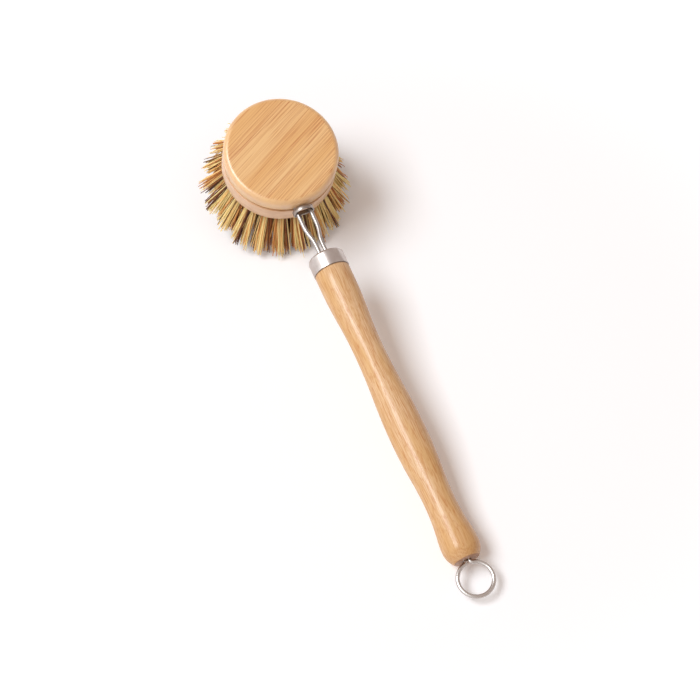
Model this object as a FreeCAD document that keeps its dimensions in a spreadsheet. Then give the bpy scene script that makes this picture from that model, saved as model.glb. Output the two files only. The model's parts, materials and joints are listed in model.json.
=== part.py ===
import FreeCAD, Part
import math
import os
from types import SimpleNamespace

import Sketcher
from FreeCAD import Placement, Rotation, Vector

# A dish brush with a turned bamboo handle and a round bamboo head that can be changed.
# One spring wire leaves the handle as two legs and runs round the head in a groove as a ring.
# A sheet metal lock slides along the legs and keeps the ring closed.
# The brush lies as it does when it is put down: on the handle's bulb and the bristles nearest to it.
# The origin is on the surface under the middle of the brush, +X runs from the head to the hanging loop.

# Driving dimensions, in millimetres, degrees, counts and shares
DRIVING = {
    # handle, as the stretches that follow each other from the ferrule to the butt
    "neck_length": 6.5,
    "front_taper_length": 33.0,
    "swell_rise_length": 41.0,
    "rear_taper_length": 31.0,
    "bulb_rise_length": 20.5,
    "bulb_end_length": 6.5,
    "neck_diameter": 15.5,
    "front_waist_diameter": 12.7,
    "swell_diameter": 15.7,
    "rear_waist_diameter": 12.8,
    "bulb_diameter": 15.9,
    "butt_face_diameter": 10.6,
    "butt_chamfer": 0.4,
    "front_taper_joint_share": 0.5,
    "swell_rise_joint_share": 0.5,
    "rear_taper_joint_share": 0.62,
    "bulb_rise_joint_share": 0.72,
    # ferrule
    "ferrule_diameter": 15.9,
    "ferrule_length": 7.5,
    "ferrule_wall": 0.5,
    "ferrule_edge_radius": 1.2,
    "fixed_clearance": 0.05,
    # spring wire
    "wire_diameter": 1.9,
    "tail_spacing": 2.9,
    "tail_depth": 24.0,
    "leg_lead": 6.0,
    "spread_length": 11.0,
    "leg_spacing": 5.8,
    "leg_run": 8.7,
    "kink_angle": 7.0,
    "kink_radius": 8.0,
    "kink_lead": 0.1,
    "bend_radius": 1.5,
    # lock clip
    "clip_length": 2.0,
    "clip_sheet": 0.6,
    "clip_clearance": 0.25,
    "clip_arch_drop": 0.7,
    "clip_setback": 0.25,
    # head block
    "head_diameter": 50.0,
    "head_rise": 7.9,
    "flange_drop": 10.0,
    "top_edge_radius": 2.5,
    "flange_edge_radius": 0.8,
    "groove_depth": 3.2,
    "ring_clearance": 0.1,
    # tufts
    "tuft_hole_diameter": 4.8,
    "tuft_hole_depth": 5.5,
    "hole_rim": 3.0,
    "bristle_length": 22.7,
    "tip_flare": 9.8,
    "tuft_clearance": 0.1,
    "tuft_gap": 0.3,
    "tuft_lobes": 7,
    "lobe_shoulder_share": 0.95,
    "lobe_valley_share": 0.8,
    # staples
    "staple_wire": 0.5,
    "staple_span": 4.2,
    "staple_depth": 1.6,
    "staple_bite": 0.9,
    # hanging loop
    "loop_wire_diameter": 1.8,
    "loop_diameter": 16.4,
    "loop_neck_radius": 1.2,
    "loop_stand_off": 0.2,
    "loop_tail_depth": 18.0,
    "loop_tail_gap": 0.1,
}

# Rows of tufts from the outside in, with the number of tufts in each; one more stands in the centre
TUFT_ROWS = (("outer", 20), ("middle", 13), ("inner", 6))

doc = FreeCAD.newDocument("DishBrush")
sheet = doc.addObject("Spreadsheet::Sheet", "Sizes")
for row, (alias, number) in enumerate(DRIVING.items(), start=1):
    sheet.set(f"A{row}", alias)
    sheet.set(f"B{row}", str(number))
    sheet.setAlias(f"B{row}", alias)
doc.recompute()


class Size:
    """A number together with the expression that ties it to the sheet."""

    def __init__(self, value, text):
        self.value = value
        self.text = text

    def joined(self, sign, other, value):
        return Size(value, f"({self.text} {sign} {as_size(other).text})")

    def __add__(self, other):
        return self.joined("+", other, self.value + as_size(other).value)

    def __sub__(self, other):
        return self.joined("-", other, self.value - as_size(other).value)

    def __mul__(self, other):
        return self.joined("*", other, self.value * as_size(other).value)

    def __truediv__(self, other):
        return self.joined("/", other, self.value / as_size(other).value)

    def __neg__(self):
        return Size(-self.value, f"(-{self.text})")


def as_size(number):
    """A plain number as a Size; a Size is returned as it is."""
    return number if isinstance(number, Size) else Size(number, str(number))


def square_root(size):
    return Size(math.sqrt(size.value), f"sqrt({size.text})")


dim = SimpleNamespace(**{alias: Size(float(sheet.get(alias)), f"Sizes.{alias}") for alias in DRIVING})


# Sketches and features
def new_body(label):
    body = doc.addObject("PartDesign::Body", label)
    body.Label = label
    return body


def origin_feature(body, role):
    return next(feature for feature in body.Origin.OriginFeatures if feature.Role == role)


def new_sketch(body, name, role):
    sketch = body.newObject("Sketcher::SketchObject", name)
    sketch.AttachmentSupport = [(origin_feature(body, role), "")]
    sketch.MapMode = "FlatFace"
    return sketch


def constrain(sketch, kind, *places, size=None):
    """Add one constraint; a size drives it through its expression."""
    if size is None:
        sketch.addConstraint(Sketcher.Constraint(kind, *places))
        return
    index = sketch.addConstraint(Sketcher.Constraint(kind, *places, size.value))
    sketch.setExpression(f"Constraints[{index}]", size.text)


def arc_between(start, end, upright):
    """Arc of under a half circle whose centre lies straight above or below one of its ends."""
    held, free = (start, end) if upright == "start" else (end, start)
    rise = held.y - free.y
    centre = Vector(held.x, (held.y ** 2 - free.y ** 2 - (free.x - held.x) ** 2) / (2 * rise), 0)
    angles = [math.atan2(point.y - centre.y, point.x - centre.x) for point in (start, end)]
    turn = (angles[1] - angles[0]) % (2 * math.pi)
    forward = turn < math.pi
    if not forward:
        angles.reverse()
    circle = Part.Circle(centre, Vector(0, 0, 1), centre.distanceToPoint(start))
    return Part.ArcOfCircle(circle, *angles), forward


def add_outline(sketch, corners, arcs=None):
    """Closed outline through corners given as (x, y) sizes, where a plain 0 means on the axis.

    arcs maps the number of a stretch to the end that stands straight above or below its centre.
    """
    arcs = arcs or {}
    points = [Vector(as_size(x).value, as_size(y).value, 0) for x, y in corners]
    stretches = []
    for number, start in enumerate(points):
        end = points[(number + 1) % len(points)]
        if number in arcs:
            curve, forward = arc_between(start, end, arcs[number])
        else:
            curve, forward = Part.LineSegment(start, end), True
        stretches.append((sketch.addGeometry(curve), *((1, 2) if forward else (2, 1))))
    for number, (line, first, last) in enumerate(stretches):
        next_line, next_first, _ = stretches[(number + 1) % len(stretches)]
        constrain(sketch, "Coincident", line, last, next_line, next_first)
    for number, (line, first, last) in enumerate(stretches):
        if number in arcs:
            constrain(sketch, "Vertical", line, 3, line, first if arcs[number] == "start" else last)
        x, y = corners[number]
        if isinstance(x, Size):
            constrain(sketch, "DistanceX", -1, 1, line, first, size=x)
        else:
            constrain(sketch, "PointOnObject", line, first, -2)
        if isinstance(y, Size):
            constrain(sketch, "DistanceY", -1, 1, line, first, size=y)
        else:
            constrain(sketch, "PointOnObject", line, first, -1)


def revolve(body, sketch, axis):
    turned = body.newObject("PartDesign::Revolution", f"{body.Label}_turned")
    turned.Profile = sketch
    turned.ReferenceAxis = (sketch, [axis])
    turned.Angle = 360
    return turned


def new_feature(label, shape, placement):
    feature = doc.addObject("Part::Feature", label)
    feature.Label = label
    feature.Shape = shape
    feature.Placement = placement
    return feature


def swept_rod(edges, diameter):
    """Round rod along edges that join end to end."""
    spine = Part.Wire(edges)
    first = edges[0]
    start = first.valueAt(first.FirstParameter)
    along = first.tangentAt(first.FirstParameter)
    section = Part.Wire([Part.Circle(start, along, diameter / 2).toShape()])
    return spine.makePipeShell([section], True, False)


def arc_edge(start, middle, end):
    return Part.Arc(start, middle, end).toShape()


def line_edge(start, end):
    return Part.LineSegment(start, end).toShape()


def bend_edge(start, along, side, radius, angle):
    """Bend that leaves start along a direction and turns by an angle in radians towards side."""
    centre = start + side * radius

    def at(turn):
        return centre - side * (radius * math.cos(turn)) + along * (radius * math.sin(turn))

    return arc_edge(start, at(angle / 2), at(angle))


# Stations along the handle's axis, counted from the front face of the ferrule
neck_end = dim.ferrule_length + dim.neck_length
front_waist = neck_end + dim.front_taper_length
swell = front_waist + dim.swell_rise_length
rear_waist = swell + dim.rear_taper_length
bulb = rear_waist + dim.bulb_rise_length
butt = bulb + dim.bulb_end_length

# Bores: two wire tails side by side fit each of them
wire_bore_radius = (dim.tail_spacing + dim.wire_diameter) / 2 + dim.fixed_clearance
loop_bore_radius = dim.loop_wire_diameter + dim.loop_tail_gap / 2 + dim.fixed_clearance

# The groove and the ring of wire that lies in it
groove_floor_radius = dim.head_diameter / 2 - dim.groove_depth
groove_half_height = dim.wire_diameter / 2 + dim.ring_clearance
ring_radius = (groove_floor_radius + dim.ring_clearance + dim.wire_diameter / 2).value

# Where the legs bend out into the ring, seen from the head's centre
leg_offset = dim.leg_spacing.value / 2
bend_radius = dim.bend_radius.value
bend_reach = ring_radius + bend_radius
bend_offset = leg_offset + bend_radius
bend_distance = math.sqrt(bend_reach ** 2 - bend_offset ** 2)

# The kink between the legs and the ring
kink = math.radians(dim.kink_angle.value)
kink_tangent = dim.kink_radius.value * math.tan(kink / 2)
kink_start = (dim.leg_lead + dim.spread_length + dim.leg_run).value
kink_to_centre = kink_tangent + dim.kink_lead.value + bend_distance
kink_corner = Vector(-kink_start - kink_tangent, 0, 0)
head_centre = kink_corner + Vector(-math.cos(kink), 0, math.sin(kink)) * kink_to_centre
head_in_handle = Placement(head_centre, Rotation(Vector(0, 1, 0), dim.kink_angle.value))

# The plane of the trimmed tips, and how far they reach past the head
head_radius = dim.head_diameter / 2
tip_drop = (dim.flange_drop + dim.bristle_length).value
tip_radius = (head_radius + dim.tip_flare).value

# Lying slope: the bulb and the tips nearest to the handle touch the same level
bulb_radius = dim.bulb_diameter.value / 2
butt_edge_radius = dim.butt_face_diameter / 2 + dim.butt_chamfer
bulb_arc_length = (dim.bulb_end_length - dim.butt_chamfer).value
bulb_arc_drop = bulb_radius - butt_edge_radius.value
bulb_arc_radius = (bulb_arc_length ** 2 + bulb_arc_drop ** 2) / (2 * bulb_arc_drop)
overhang = kink_to_centre - tip_radius
sine_part = bulb.value - kink_corner.x + overhang * math.cos(kink) + tip_drop * math.sin(kink)
cosine_part = bulb_radius - bulb_arc_radius + overhang * math.sin(kink) - tip_drop * math.cos(kink)
reach = math.hypot(sine_part, cosine_part)
slope = math.asin(-bulb_arc_radius / reach) - math.atan2(cosine_part, sine_part)
tilt = slope + kink

# The hanging loop's ring lies in the plane of the legs, a neck away from the butt
loop_wire_radius = dim.loop_wire_diameter.value / 2
loop_radius = dim.loop_diameter.value / 2 - loop_wire_radius
loop_tail_offset = (dim.loop_wire_diameter + dim.loop_tail_gap).value / 2
loop_neck_radius = dim.loop_neck_radius.value
loop_neck_offset = loop_tail_offset + loop_neck_radius
loop_neck_reach = math.sqrt((loop_radius + loop_neck_radius) ** 2 - loop_neck_offset ** 2)
loop_neck_start = (butt + dim.loop_stand_off).value
loop_centre = loop_neck_start + loop_neck_reach

# Place of the ferrule's front face, so that the origin is under the middle of the whole brush
bulb_height = (bulb_radius - bulb_arc_radius) * math.cos(slope) + bulb_arc_radius
front_height = bulb_height + bulb.value * math.sin(slope)
loop_end = (loop_centre + loop_radius) * math.cos(slope) + loop_wire_radius
head_centre_ahead = kink_corner.x * math.cos(slope) - kink_to_centre * math.cos(tilt)
tips_end = head_centre_ahead - tip_drop * math.sin(tilt) - tip_radius * math.cos(tilt)
handle_place = Placement(
    Vector(-(loop_end + tips_end) / 2, 0, front_height),
    Rotation(Vector(0, 1, 0), math.degrees(slope)),
)
head_place = handle_place.multiply(head_in_handle)


# Handle: a turned bamboo stick with a stepped front for the ferrule and a bore in each end
def joint_between(start, end, share):
    """Point where two arcs meet smoothly between a widest and a narrowest place."""
    return tuple(a + (b - a) * share for a, b in zip(start, end))


def build_handle():
    body = new_body("handle")
    sketch = new_sketch(body, "handle_outline", "XZ_Plane")
    front = dim.ferrule_wall + dim.fixed_clearance
    spigot_radius = dim.ferrule_diameter / 2 - dim.ferrule_wall - dim.fixed_clearance
    spigot_round = dim.ferrule_edge_radius - dim.ferrule_wall
    neck = (neck_end, dim.neck_diameter / 2)
    waist = (front_waist, dim.front_waist_diameter / 2)
    crest = (swell, dim.swell_diameter / 2)
    second_waist = (rear_waist, dim.rear_waist_diameter / 2)
    bulb_crest = (bulb, dim.bulb_diameter / 2)
    corners = [
        (front, wire_bore_radius),
        (front, spigot_radius - spigot_round),
        (front + spigot_round, spigot_radius),
        (dim.ferrule_length, spigot_radius),
        (dim.ferrule_length, dim.neck_diameter / 2),
        neck,
        joint_between(neck, waist, dim.front_taper_joint_share),
        waist,
        joint_between(waist, crest, dim.swell_rise_joint_share),
        crest,
        joint_between(crest, second_waist, dim.rear_taper_joint_share),
        second_waist,
        joint_between(second_waist, bulb_crest, dim.bulb_rise_joint_share),
        bulb_crest,
        (butt - dim.butt_chamfer, butt_edge_radius),
        (butt, dim.butt_face_diameter / 2),
        (butt, loop_bore_radius),
        (butt - dim.loop_tail_depth - dim.fixed_clearance, loop_bore_radius),
        (butt - dim.loop_tail_depth - dim.fixed_clearance, 0),
        (dim.tail_depth + dim.fixed_clearance, 0),
        (dim.tail_depth + dim.fixed_clearance, wire_bore_radius),
    ]
    first_arc = corners.index(neck)
    last_arc = corners.index(bulb_crest)
    arcs = {first_arc + step: ("start", "end")[step % 2] for step in range(last_arc - first_arc + 1)}
    arcs[1] = "end"
    add_outline(sketch, corners, arcs)
    revolve(body, sketch, "H_Axis")
    body.Placement = handle_place
    return body


# Ferrule: a drawn steel cap over the handle's stepped front, with a hole for the two legs
def build_ferrule():
    body = new_body("ferrule")
    sketch = new_sketch(body, "ferrule_outline", "XZ_Plane")
    outer = dim.ferrule_diameter / 2
    inner = outer - dim.ferrule_wall
    inner_round = dim.ferrule_edge_radius - dim.ferrule_wall
    corners = [
        (0, wire_bore_radius),
        (0, outer - dim.ferrule_edge_radius),
        (dim.ferrule_edge_radius, outer),
        (dim.ferrule_length - dim.fixed_clearance, outer),
        (dim.ferrule_length - dim.fixed_clearance, inner),
        (dim.ferrule_edge_radius, inner),
        (dim.ferrule_wall, inner - inner_round),
        (dim.ferrule_wall, wire_bore_radius),
    ]
    add_outline(sketch, corners, {1: "end", 5: "start"})
    revolve(body, sketch, "H_Axis")
    body.Placement = handle_place
    return body


# Spring wire: tails in the handle, legs that spread, a kink, and the ring round the head
def in_head(x, y):
    """A point of the head's groove plane, seen from the handle."""
    return head_in_handle.multVec(Vector(x, y, 0))


def leg_edges(side):
    """Edges of one leg from its tail to the ring; side is 1 or -1."""
    tail_offset = dim.tail_spacing.value / 2
    lead = dim.leg_lead.value
    spread = dim.spread_length.value
    ahead = Vector(-1, 0, 0)
    outward = Vector(0, side, 0)
    tail_end = Vector(dim.tail_depth.value, side * tail_offset, 0)
    spread_start = Vector(-lead, side * tail_offset, 0)
    spread_end = Vector(-lead - spread, side * leg_offset, 0)
    kink_begin = Vector(-kink_start, side * leg_offset, 0)
    widening = leg_offset - tail_offset
    spread_radius = (spread ** 2 + widening ** 2) / (4 * widening)
    spread_angle = math.asin(spread / (2 * spread_radius))
    spread_out = bend_edge(spread_start, ahead, outward, spread_radius, spread_angle)
    spread_back = bend_edge(spread_end, ahead * -1, outward * -1, spread_radius, spread_angle)
    kinked = bend_edge(kink_begin, ahead, Vector(0, 0, 1), dim.kink_radius.value, kink)
    bend_start = in_head(bend_distance, side * leg_offset)
    swing = math.acos(bend_offset / bend_reach)
    bend = bend_edge(bend_start, in_head(-1, 0) - in_head(0, 0), outward, bend_radius, swing)
    return [
        line_edge(tail_end, spread_start),
        spread_out,
        spread_back,
        line_edge(spread_end, kink_begin),
        kinked,
        line_edge(kinked.lastVertex().Point, bend_start),
        bend,
    ]


def build_spring_wire():
    right = leg_edges(1)
    left = leg_edges(-1)
    far = in_head(-ring_radius, 0)
    ring = []
    for side, leg in ((1, right), (-1, left)):
        meet = leg[-1].lastVertex().Point
        half_turn = (math.atan2(bend_offset, bend_distance) + math.pi) / 2
        over = in_head(ring_radius * math.cos(half_turn), side * ring_radius * math.sin(half_turn))
        ring.append(arc_edge(meet, over, far))
    edges = right + ring + left[::-1]
    return new_feature("spring_wire", swept_rod(edges, dim.wire_diameter.value), handle_place)


# Lock clip: a band of sheet steel, flat under both legs and arched over them
def clip_front(arch_top):
    """Station of the lock's front edge, a setback away from the head's leaning side."""
    side_foot = in_head(head_radius.value, 0)
    rise = (arch_top.value - side_foot.z) / math.cos(kink)
    return side_foot.x + rise * math.sin(kink) + dim.clip_setback.value


def build_lock_clip():
    body = new_body("lock_clip")
    sketch = new_sketch(body, "clip_outline", "YZ_Plane")
    springing = -dim.clip_arch_drop
    leg_room = dim.wire_diameter / 2 + dim.clip_clearance
    half_spacing = dim.leg_spacing / 2
    leg_reach = square_root(half_spacing * half_spacing + dim.clip_arch_drop * dim.clip_arch_drop)
    arch = leg_reach + leg_room
    corner = leg_room - dim.clip_arch_drop
    for sheet_side in (as_size(0), dim.clip_sheet):
        radius = arch + sheet_side
        corner_radius = corner + sheet_side
        corners = [
            (0, springing + radius),
            (-radius, springing),
            (corner_radius - radius, springing - corner_radius),
            (radius - corner_radius, springing - corner_radius),
            (radius, springing),
        ]
        add_outline(sketch, corners, {0: "start", 1: "end", 3: "start", 4: "end"})
    band = body.newObject("PartDesign::Pad", "clip_band")
    band.Profile = sketch
    band.Length = dim.clip_length.value
    band.setExpression("Length", dim.clip_length.text)
    start = Vector(clip_front(springing + arch + dim.clip_sheet), 0, 0)
    body.Placement = handle_place.multiply(Placement(start, Rotation()))
    return body


# Head block: a turned bamboo disc with a groove round its side and holes for the tufts beneath
outer_row_radius = head_radius - dim.hole_rim - dim.tuft_hole_diameter / 2
row_pitch = outer_row_radius / len(TUFT_ROWS)


def row_steps():
    """Each row's name, its number of tufts and its place counted from the centre."""
    for place, (name, count) in enumerate(TUFT_ROWS):
        yield name, round(count), len(TUFT_ROWS) - place


def drill_tuft_hole(body, name, radius):
    """One hole in the head's underside; a plain 0 puts it in the centre."""
    sketch = new_sketch(body, f"{name}_hole", "XY_Plane")
    sketch.AttachmentOffset = Placement(Vector(0, 0, -dim.flange_drop.value), Rotation())
    sketch.setExpression("AttachmentOffset.Base.z", f"-{dim.flange_drop.text}")
    hole_radius = dim.tuft_hole_diameter / 2
    centre = Vector(as_size(radius).value, 0, 0)
    circle = sketch.addGeometry(Part.Circle(centre, Vector(0, 0, 1), hole_radius.value))
    constrain(sketch, "Radius", circle, size=hole_radius)
    if isinstance(radius, Size):
        constrain(sketch, "PointOnObject", circle, 3, -1)
        constrain(sketch, "DistanceX", -1, 1, circle, 3, size=radius)
    else:
        constrain(sketch, "Coincident", circle, 3, -1, 1)
    hole = body.newObject("PartDesign::Pocket", f"{name}_hole_drilled")
    hole.Profile = sketch
    hole.Length = dim.tuft_hole_depth.value
    hole.setExpression("Length", dim.tuft_hole_depth.text)
    hole.Reversed = True
    doc.recompute()
    return hole


def repeat_round(body, name, hole, count):
    """Repeat a hole evenly round the head's centre."""
    pattern = body.newObject("PartDesign::PolarPattern", f"{name}_holes")
    pattern.Originals = [hole]
    pattern.Axis = (origin_feature(body, "Z_Axis"), [""])
    pattern.Angle = 360
    pattern.Occurrences = count
    body.Tip = pattern
    doc.recompute()


def build_head_block():
    body = new_body("head_block")
    sketch = new_sketch(body, "head_outline", "XZ_Plane")
    corners = [
        (0, -dim.flange_drop),
        (head_radius - dim.flange_edge_radius, -dim.flange_drop),
        (head_radius, dim.flange_edge_radius - dim.flange_drop),
        (head_radius, -groove_half_height),
        (groove_floor_radius, -groove_half_height),
        (groove_floor_radius, groove_half_height),
        (head_radius, groove_half_height),
        (head_radius, dim.head_rise - dim.top_edge_radius),
        (head_radius - dim.top_edge_radius, dim.head_rise),
        (0, dim.head_rise),
    ]
    add_outline(sketch, corners, {1: "start", 7: "end"})
    revolve(body, sketch, "V_Axis")
    for name, count, step in row_steps():
        hole = drill_tuft_hole(body, name, row_pitch * step)
        repeat_round(body, name, hole, count)
    drill_tuft_hole(body, "centre", 0)
    body.Placement = head_place
    return body


# Tufts: bundles of plant fibre that fill their holes and flare to one trimmed plane
underside = -dim.flange_drop.value
hole_end = underside + dim.tuft_hole_depth.value
root_radius = (dim.tuft_hole_diameter / 2 - dim.tuft_clearance).value
tip_gap = dim.tuft_gap.value
tip_pitch = (tip_radius + tip_gap / 2) / (len(TUFT_ROWS) + 1 / 2)
tip_half_width = tip_pitch / 2 - tip_gap / 2
staple_wire = dim.staple_wire.value
staple_low = hole_end - dim.staple_depth.value - staple_wire


def bundle_section(centre, radial, tangential):
    """Corners of a bundle's outline, level with the head: lobes round a centre."""
    shoulder_share = dim.lobe_shoulder_share.value
    shares = (1, shoulder_share, dim.lobe_valley_share.value, shoulder_share)
    count = len(shares) * round(dim.tuft_lobes.value)
    corners = []
    for number in range(count):
        turn = 2 * math.pi * number / count
        spoke = Vector(radial * math.cos(turn), tangential * math.sin(turn), 0)
        corners.append(centre + spoke * shares[number % len(shares)])
    return corners


def flat_face(*corners):
    return Part.Face(Part.makePolygon([*corners, corners[0]]))


def bundle_shape(sections):
    """Solid through sections that follow each other, with flat faces all round."""
    faces = [flat_face(*sections[0]), flat_face(*sections[-1])]
    for upper, lower in zip(sections, sections[1:]):
        upper_next = upper[1:] + upper[:1]
        lower_next = lower[1:] + lower[:1]
        for a, b, c, d in zip(upper, upper_next, lower_next, lower):
            faces.append(flat_face(a, b, c))
            faces.append(flat_face(a, c, d))
    return Part.Solid(Part.Shell(faces)).removeSplitter()


def tuft_shape(root_place, tip_place, tip_breadth):
    """One tuft, with the slot at its root that the staple sits in."""
    root_end = hole_end - dim.tuft_clearance.value
    sections = [
        bundle_section(Vector(root_place, 0, root_end), root_radius, root_radius),
        bundle_section(Vector(root_place, 0, underside), root_radius, root_radius),
        bundle_section(Vector(tip_place, 0, -tip_drop), tip_half_width, tip_breadth),
    ]
    bundle = bundle_shape(sections)
    slot_width = staple_wire + 2 * dim.tuft_clearance.value
    slot_floor = staple_low - dim.tuft_clearance.value
    slot_length = 2 * dim.tuft_hole_diameter.value
    slot_corner = Vector(root_place - slot_width / 2, -slot_length / 2, slot_floor)
    slot = Part.makeBox(slot_width, slot_length, slot_length, slot_corner)
    return bundle.cut(slot)


def build_tufts():
    tufts = []
    for name, count, step in row_steps():
        tip_place = tip_pitch * step
        wedge = math.pi / count
        room = tip_place * math.sin(wedge) - tip_gap / 2
        spare = room ** 2 - (tip_half_width * math.sin(wedge)) ** 2
        shape = tuft_shape(row_pitch.value * step, tip_place, math.sqrt(spare) / math.cos(wedge))
        for number in range(count):
            turn = Placement(Vector(), Rotation(Vector(0, 0, 1), 360 * number / count))
            label = f"tuft_{name}_{number + 1:02d}"
            tufts.append(new_feature(label, shape.copy(), head_place.multiply(turn)))
    centre = tuft_shape(0, 0, tip_half_width)
    tufts.append(new_feature("tuft_centre", centre, head_place))
    return tufts


# Staples: one in each hole, holding the folded fibres, with both ends in the wood
def staple_shape():
    half = dim.staple_span.value / 2
    top = hole_end + dim.staple_bite.value
    outline = [
        (-half, staple_low),
        (half, staple_low),
        (half, top),
        (half - staple_wire, top),
        (half - staple_wire, staple_low + staple_wire),
        (staple_wire - half, staple_low + staple_wire),
        (staple_wire - half, top),
        (-half, top),
    ]
    points = [Vector(-staple_wire / 2, y, z) for y, z in outline]
    face = Part.Face(Part.makePolygon(points + points[:1]))
    return face.extrude(Vector(staple_wire, 0, 0))


def build_staples():
    staple = staple_shape()
    staples = [staple]
    for name, count, step in row_steps():
        for number in range(count):
            placed = staple.copy()
            placed.translate(Vector(row_pitch.value * step, 0, 0))
            placed.rotate(Vector(), Vector(0, 0, 1), 360 * number / count)
            staples.append(placed)
    return new_feature("tuft_staples", Part.makeCompound(staples), head_place)


# Hanging loop: a ring of wire whose two tails stand side by side in the butt
def build_hanging_loop():
    far = Vector(loop_centre + loop_radius, 0, 0)
    halves = []
    for side in (1, -1):
        tail_end = Vector((butt - dim.loop_tail_depth).value, side * loop_tail_offset, 0)
        neck_start = Vector(loop_neck_start, side * loop_tail_offset, 0)
        swing = math.acos(loop_neck_offset / (loop_radius + loop_neck_radius))
        neck = bend_edge(neck_start, Vector(1, 0, 0), Vector(0, side, 0), loop_neck_radius, swing)
        meet = neck.lastVertex().Point
        half_turn = (math.pi - math.atan2(loop_neck_offset, loop_neck_reach)) / 2
        outward = Vector(math.cos(half_turn), side * math.sin(half_turn), 0)
        over = Vector(loop_centre, 0, 0) + outward * loop_radius
        halves.append([line_edge(tail_end, neck_start), neck, arc_edge(meet, over, far)])
    edges = halves[0] + halves[1][::-1]
    return new_feature("hanging_loop", swept_rod(edges, dim.loop_wire_diameter.value), handle_place)


def check(pieces):
    """Stop if any object failed to build or any piece isn't whole."""
    for item in doc.Objects:
        if "Invalid" in item.State or "Error" in item.State:
            raise RuntimeError(f"{item.Label}: {item.State}")
    for piece in pieces:
        if piece.Shape.isNull() or not piece.Shape.isValid():
            raise RuntimeError(f"{piece.Label}: shape is not valid")


def main():
    pieces = [
        build_handle(),
        build_ferrule(),
        build_spring_wire(),
        build_lock_clip(),
        build_head_block(),
        build_staples(),
        build_hanging_loop(),
        *build_tufts(),
    ]
    doc.recompute()
    check(pieces)
    os.makedirs("parts", exist_ok=True)
    for piece in pieces:
        piece.Shape.exportStep(f"parts/{piece.Label}.step")
    print(f"{len(pieces)} pieces, slope {math.degrees(slope):.4f}, tilt {math.degrees(tilt):.4f} degrees")
    print("ferrule front", handle_place.Base, "head centre", head_place.Base)


main()
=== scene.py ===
import json
import random
from collections import namedtuple
from math import acos, asin, atan2, cos, hypot, pi, radians, sin, sqrt, tan

import bpy
from bpy.props import FloatProperty, FloatVectorProperty, IntProperty, PointerProperty
from mathutils import Color, Matrix, Vector


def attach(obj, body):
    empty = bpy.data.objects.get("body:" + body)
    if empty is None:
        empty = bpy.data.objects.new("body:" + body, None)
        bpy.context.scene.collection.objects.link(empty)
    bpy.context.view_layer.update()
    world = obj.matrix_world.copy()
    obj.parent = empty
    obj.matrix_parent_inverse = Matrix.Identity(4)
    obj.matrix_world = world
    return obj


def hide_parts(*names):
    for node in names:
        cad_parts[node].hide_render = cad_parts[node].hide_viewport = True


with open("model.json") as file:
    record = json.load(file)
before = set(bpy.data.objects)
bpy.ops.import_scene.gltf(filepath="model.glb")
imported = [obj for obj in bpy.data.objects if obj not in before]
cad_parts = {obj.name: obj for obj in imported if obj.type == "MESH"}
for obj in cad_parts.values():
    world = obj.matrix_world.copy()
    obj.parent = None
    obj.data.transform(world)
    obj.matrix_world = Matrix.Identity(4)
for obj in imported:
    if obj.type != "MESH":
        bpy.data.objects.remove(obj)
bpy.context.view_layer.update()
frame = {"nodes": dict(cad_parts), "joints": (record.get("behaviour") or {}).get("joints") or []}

bl_info = {
    "name": "Dish Brush",
    "version": (1, 0, 0),
    "blender": (4, 5, 0),
    "location": "View3D > Sidebar > Dish Brush",
    "description": "Dresses a dish brush with a bamboo handle, a wire-held head and fibre tufts",
    "category": "Add Mesh",
}

MM = 0.001

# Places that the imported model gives: the handle's axis and butt, the head's axis and centre
JOINTS = {joint["name"]: joint for joint in frame["joints"]}
HANDLE_AXIS = Vector(JOINTS["loop_swivel"]["axis"])
BUTT_CENTRE = Vector(JOINTS["loop_swivel"]["pos_m"])
HEAD_AXIS = Vector(JOINTS["head_swivel"]["axis"])
HEAD_CENTRE = Vector(JOINTS["head_swivel"]["pos_m"])
ALONG, ACROSS, UP = Vector((1, 0, 0)), Vector((0, 1, 0)), Vector((0, 0, 1))

# Rows of tufts from the outside in, and the number of tufts in each; one more is in the centre
TUFT_ROWS = (("outer", 20), ("middle", 13), ("inner", 6))

# The handle's widest and narrowest places, each with the stretch that leads to it
KNOTS = (
    ("neck", "neck"),
    ("front_waist", "front_taper"),
    ("swell", "swell_rise"),
    ("rear_waist", "rear_taper"),
    ("bulb", "bulb_rise"),
)

# How finely round shapes are divided
STICK_SIDES = 96
HEAD_SIDES = 160
HOLE_SIDES = 32
WIRE_ROUNDNESS = 5
SWELL_STEPS = 10
SPIGOT_STEPS = 4
FERRULE_EDGE_STEPS, FERRULE_INNER_STEPS = 8, 5
SPREAD_STEPS = 8
KINK_STEPS = 3
BEND_STEPS = 14
RING_STEPS = 120
LOCK_ARCH_STEPS, LOCK_CORNER_STEPS = 20, 6
FLANGE_EDGE_STEPS, TOP_EDGE_STEPS = 6, 10
LOOP_NECK_STEPS = 12
LOOP_STEPS = 96

# Softness of sharp edges, the angles from which an edge is sharp or shows as a crease, and
# how near to each other corners are merged
CANE_EDGE = 0.15 * MM
STEEL_EDGE = 0.12 * MM
SHARP_ANGLE = radians(35)
CREASE_ANGLE = radians(32)
MERGE_DISTANCE = MM / 500

# Tones of the wood: the width of the seam's painted shade and dirt, how far from the butt the
# handle's painted shade and its end grain lie, the shares of the head's top edge where its side
# ends and its top face starts, and how much the head's strips and streaks darken to one side as
# painted shade and sheen, to the metre
SEAM_SHADE_WIDTH, BUTT_SHADE_LENGTH = 0.8 * MM, 30 * MM
END_GRAIN_START, END_GRAIN_FULL = 0.3 * MM, 0.1 * MM
SIDE_END, TOP_START = 0.14, 0.01
STRIP_SHADE_LEAN, STREAK_SHADE_LEAN = 6, 1.5
NOISE_MIDDLE = 0.5


# Kinds of setting
GROUPS = []


def named(group):
    """List a group of settings; each setting's name is spelled by its own words."""
    GROUPS.append(group)
    for key, setting in group.__annotations__.items():
        setting.keywords["name"] = key.replace("_", " ").capitalize()
    return group


def amount(description, default, **kind):
    return FloatProperty(description=description, default=default, **kind)


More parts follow.
